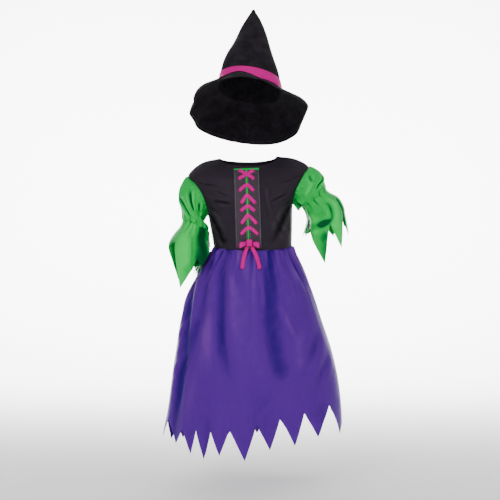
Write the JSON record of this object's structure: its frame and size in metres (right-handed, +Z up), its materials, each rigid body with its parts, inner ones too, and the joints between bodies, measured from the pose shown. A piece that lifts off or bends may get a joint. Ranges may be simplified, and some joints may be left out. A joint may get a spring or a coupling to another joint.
{
  "type": "child's witch costume",
  "caption": "Child's witch dress with laced bodice, puffed sleeves, ragged cuffs and a gathered ragged skirt, in its worn form, and a soft pointed hat with a wide floppy brim.",
  "frame": {"origin": "between the shoulders at the dress's neck, where the wearer carries it", "axes": "+Z up towards the hat's point; the laced front faces -Y; +X is the wearer's left"},
  "size_m": [0.4353, 0.3412, 1.0523],
  "materials": {
    "bodice": "soft satin, near-black purple",
    "lacing_panel": "soft satin, dark grey",
    "green_satin": "shiny satin, bright green",
    "purple_satin": "shiny satin, purple",
    "ribbon": "woven ribbon, bright pink",
    "felt": "matte brushed cloth, near-black"
  },
  "bodies": {
    "root": {"bodice_front": "bodice", "bodice_back_left": "bodice", "bodice_back_right": "bodice", "lacing_inset": "green_satin", "lacing_panel_left": "lacing_panel", "lacing_panel_right": "lacing_panel", "sleeve_left": "green_satin", "sleeve_right": "green_satin", "cuff_left": "green_satin", "cuff_right": "green_satin", "skirt_front": "purple_satin", "skirt_back": "purple_satin", "hat_crown": "felt", "hat_brim": "felt", "hat_band": "ribbon", "lace_cross_over": "ribbon", "lace_cross_under": "ribbon", "lace_row_1": "ribbon", "lace_row_2": "ribbon", "lace_row_3": "ribbon", "lace_row_4": "ribbon", "lace_row_5": "ribbon", "bow_knot": "ribbon", "bow_loop_left": "ribbon", "bow_loop_right": "ribbon", "bow_tail_left": "ribbon", "bow_tail_right": "ribbon"}
  },
  "joints": []
}
